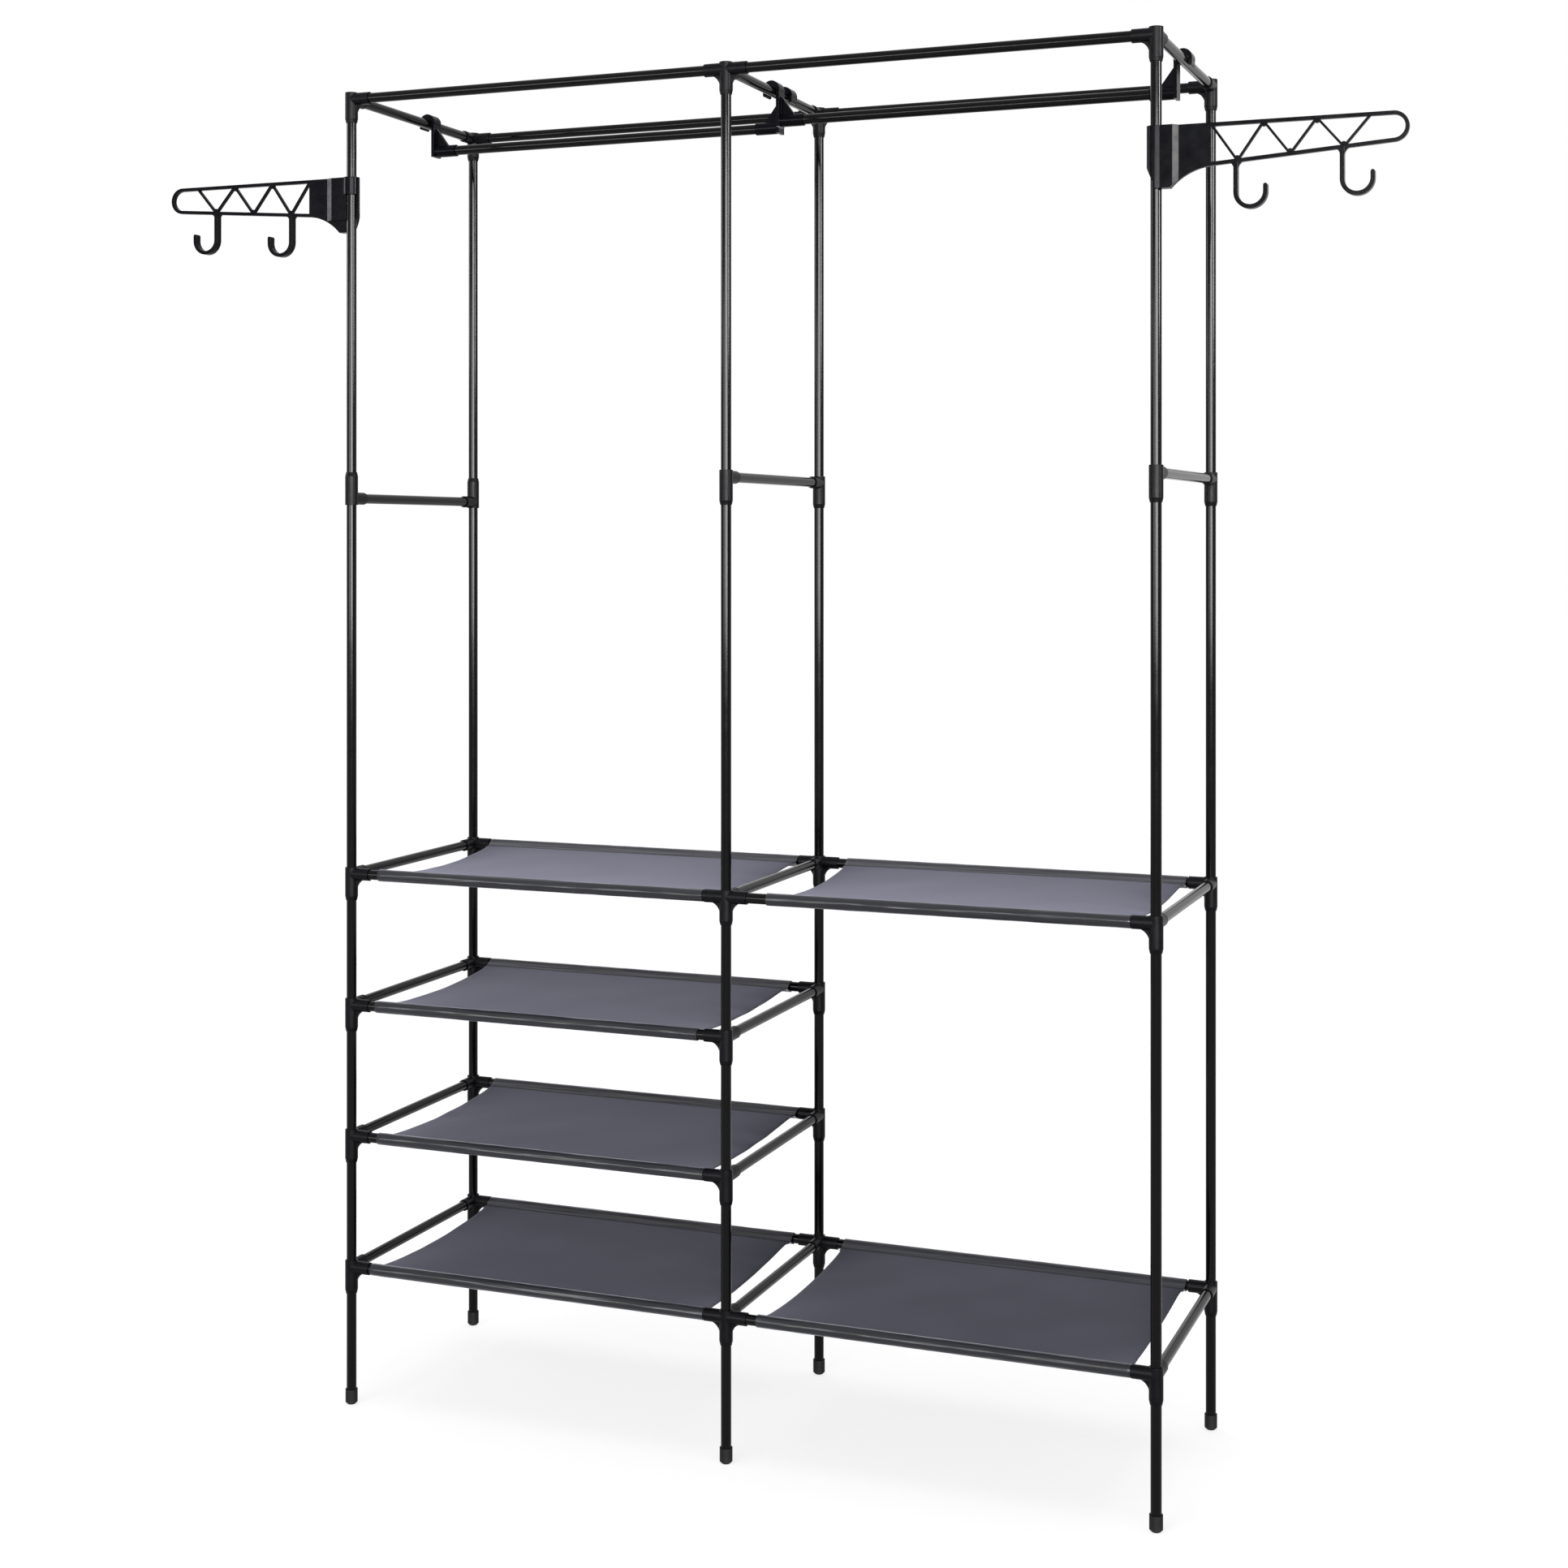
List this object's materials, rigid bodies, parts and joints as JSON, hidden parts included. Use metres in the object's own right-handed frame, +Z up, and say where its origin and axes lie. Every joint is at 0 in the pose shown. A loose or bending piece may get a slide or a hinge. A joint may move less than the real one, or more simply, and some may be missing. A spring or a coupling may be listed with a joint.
{
  "type": "open frame wardrobe",
  "caption": "Free-standing open wardrobe rack of black steel tubes in moulded connectors, with fabric shelves, sliding hanging rods and a swinging hook arm on each front corner.",
  "frame": {"origin": "on the floor under the middle of the rack", "axes": "+Z up, +X to the right seen from the front, +Y to the back"},
  "size_m": [1.517, 0.3202, 1.6059],
  "materials": {
    "steel_tube": "satin black coat",
    "connector_plastic": "moulded, fine texture",
    "arm_plastic": "moulded, low sheen",
    "foot_plastic": "moulded, worn at the floor",
    "shelf_fabric": "charcoal non-woven, spot bonded"
  },
  "bodies": {
    "frame": {"back_left_foot_cap": "foot_plastic", "back_left_post_tubes": "steel_tube", "back_middle_foot_cap": "foot_plastic", "back_middle_post_tubes": "steel_tube", "back_right_foot_cap": "foot_plastic", "back_right_post_tubes": "steel_tube", "bottom_connectors": "connector_plastic", "bottom_left_back_rail": "steel_tube", "bottom_left_front_rail": "steel_tube", "bottom_left_shelf": "shelf_fabric", "bottom_right_back_rail": "steel_tube", "bottom_right_front_rail": "steel_tube", "bottom_right_shelf": "shelf_fabric", "bottom_side_bars": "steel_tube", "front_left_foot_cap": "foot_plastic", "front_left_post_tubes": "steel_tube", "front_middle_foot_cap": "foot_plastic", "front_middle_post_tubes": "steel_tube", "front_right_foot_cap": "foot_plastic", "front_right_post_tubes": "steel_tube", "second_connectors": "connector_plastic", "second_left_back_rail": "steel_tube", "second_left_front_rail": "steel_tube", "second_left_shelf": "shelf_fabric", "second_side_bars": "steel_tube", "third_connectors": "connector_plastic", "third_left_back_rail": "steel_tube", "third_left_front_rail": "steel_tube", "third_left_shelf": "shelf_fabric", "third_side_bars": "steel_tube", "tie_bars": "steel_tube", "tie_connectors": "connector_plastic", "top_connectors": "connector_plastic", "top_left_back_rail": "steel_tube", "top_left_front_rail": "steel_tube", "top_right_back_rail": "steel_tube", "top_right_front_rail": "steel_tube", "top_side_bars": "steel_tube", "upper_connectors": "connector_plastic", "upper_left_back_rail": "steel_tube", "upper_left_front_rail": "steel_tube", "upper_left_shelf": "shelf_fabric", "upper_right_back_rail": "steel_tube", "upper_right_front_rail": "steel_tube", "upper_right_shelf": "shelf_fabric", "upper_side_bars": "steel_tube"},
    "left_arm": {"left_hook_arm": "arm_plastic"},
    "right_arm": {"right_hook_arm": "arm_plastic"},
    "left_rod": {"left_hanging_rod": "steel_tube", "left_rod_left_bracket": "arm_plastic", "left_rod_right_bracket": "arm_plastic"},
    "right_rod": {"right_hanging_rod": "steel_tube", "right_rod_left_bracket": "arm_plastic", "right_rod_right_bracket": "arm_plastic"}
  },
  "joints": [
    {"name": "left_arm_swing", "type": "hinge", "parent": "frame", "child": "left_arm", "pos_m": [-0.4965, -0.15125, 1.46], "axis": [0, 0, 1], "continuous": true},
    {"name": "right_arm_swing", "type": "hinge", "parent": "frame", "child": "right_arm", "pos_m": [0.4965, -0.15125, 1.46], "axis": [0, 0, 1], "continuous": true},
    {"name": "left_rod_slide", "type": "slide", "parent": "frame", "child": "left_rod", "axis": [0, 1, 0], "range_m": [-0.0115, 0.0775]},
    {"name": "right_rod_slide", "type": "slide", "parent": "frame", "child": "right_rod", "axis": [0, 1, 0], "range_m": [-0.1115, 0.0115]}
  ]
}
